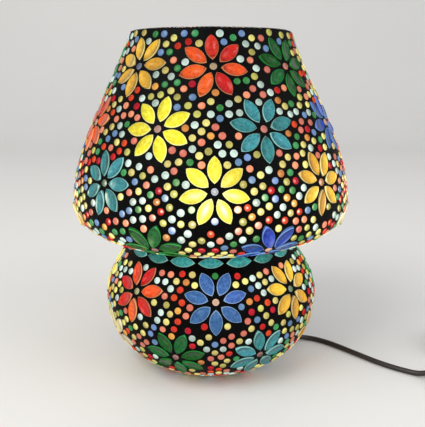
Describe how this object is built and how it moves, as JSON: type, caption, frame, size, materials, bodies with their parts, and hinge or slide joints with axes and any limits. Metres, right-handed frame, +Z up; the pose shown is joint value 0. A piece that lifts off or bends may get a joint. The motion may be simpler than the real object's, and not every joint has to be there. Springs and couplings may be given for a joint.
{
  "type": "mosaic glass table lamp",
  "caption": "Mushroom-shaped table lamp of blown glass set with coloured glass stones in black grout, open at the top, with a screw-in bulb and a cord with an inline switch and a plug.",
  "frame": {"origin": "on the table, at the middle of the lamp's foot", "axes": "+Z up along the lamp's axis, front towards -Y, the cord leaves towards +X"},
  "size_m": [0.3667, 0.2106, 0.254],
  "materials": {
    "petals_amber": "glossy",
    "petals_red": "glossy",
    "petals_green": "glossy",
    "petals_teal": "glossy",
    "petals_blue": "glossy",
    "petals_slate": "glossy",
    "petals_yellow": "glossy",
    "petals_cream": "glossy",
    "flower_centres": "glossy",
    "waist_stones": "glossy",
    "beads_white": "glossy",
    "beads_lemon": "glossy",
    "beads_olive": "glossy",
    "beads_coral": "glossy",
    "beads_red": "glossy",
    "beads_slate": "glossy",
    "beads_green": "glossy",
    "beads_orange": "glossy",
    "body_glass": "glossy",
    "grout": "matte",
    "felt": "matte",
    "steel": "satin",
    "brass": "satin",
    "rubber": "matte",
    "holder_plastic": "satin",
    "porcelain": "glossy",
    "bulb_glass": "glossy",
    "filament": "matte",
    "black_glass": "glossy",
    "cap_metal": "satin",
    "cord_pvc": "satin",
    "black_plastic": "satin",
    "rocker_plastic": "glossy",
    "tie_plastic": "matte",
    "pin_metal": "polished"
  },
  "bodies": {
    "lamp": {"petals_amber": "petals_amber", "petals_red": "petals_red", "petals_green": "petals_green", "petals_teal": "petals_teal", "petals_blue": "petals_blue", "petals_slate": "petals_slate", "petals_yellow": "petals_yellow", "petals_cream": "petals_cream", "flower_centres": "flower_centres", "waist_stones": "waist_stones", "beads_white": "beads_white", "beads_lemon": "beads_lemon", "beads_olive": "beads_olive", "beads_coral": "beads_coral", "beads_red": "beads_red", "beads_slate": "beads_slate", "beads_green": "beads_green", "beads_orange": "beads_orange", "glass_body": "body_glass", "grout_coat": "grout", "foot_pad": "felt", "nipple": "steel", "nipple_nut": "brass", "steel_washer": "steel", "rubber_washer": "rubber", "seat_washer": "rubber", "holder_cap": "holder_plastic", "holder_insulator": "porcelain", "terminal_screws": "steel", "centre_contact": "brass", "thread_shell": "brass", "holder_sleeve": "holder_plastic", "cord_relief": "rubber", "inner_lead": "cord_pvc", "cord_to_switch": "cord_pvc", "switch_base": "black_plastic", "switch_cover": "black_plastic", "switch_contacts": "brass", "switch_screws": "steel", "cord_to_coil": "cord_pvc", "cord_coil": "cord_pvc", "cord_tie": "tie_plastic", "cord_to_plug": "cord_pvc", "plug_relief": "rubber", "plug_body": "black_plastic", "plug_pins": "pin_metal"},
    "bulb_tip": {"bulb_contact": "cap_metal"},
    "bulb": {"bulb_insulator": "black_glass", "bulb_cap": "cap_metal", "bulb_stem": "bulb_glass", "bulb_filaments": "filament", "bulb_glass": "bulb_glass"},
    "rocker": {"switch_rocker": "rocker_plastic"}
  },
  "joints": [
    {"name": "bulb_lift", "type": "slide", "parent": "lamp", "child": "bulb_tip", "axis": [0, 0, 1], "range_m": [0, 0.0162]},
    {"name": "bulb_turn", "type": "hinge", "parent": "bulb_tip", "child": "bulb", "pos_m": [0, 0, 0.1], "axis": [0, 0, 1], "range_deg": [0, 1584]},
    {"name": "switch_rocker", "type": "hinge", "parent": "lamp", "child": "rocker", "pos_m": [0.203, -0.07, 0.0096], "axis": [0.4226, 0.9063, 0], "range_deg": [-18, 0]}
  ],
  "couplings": [
    {"joint": "bulb_lift", "follows": "bulb_turn", "m_per_rad": 0.00057296}
  ]
}
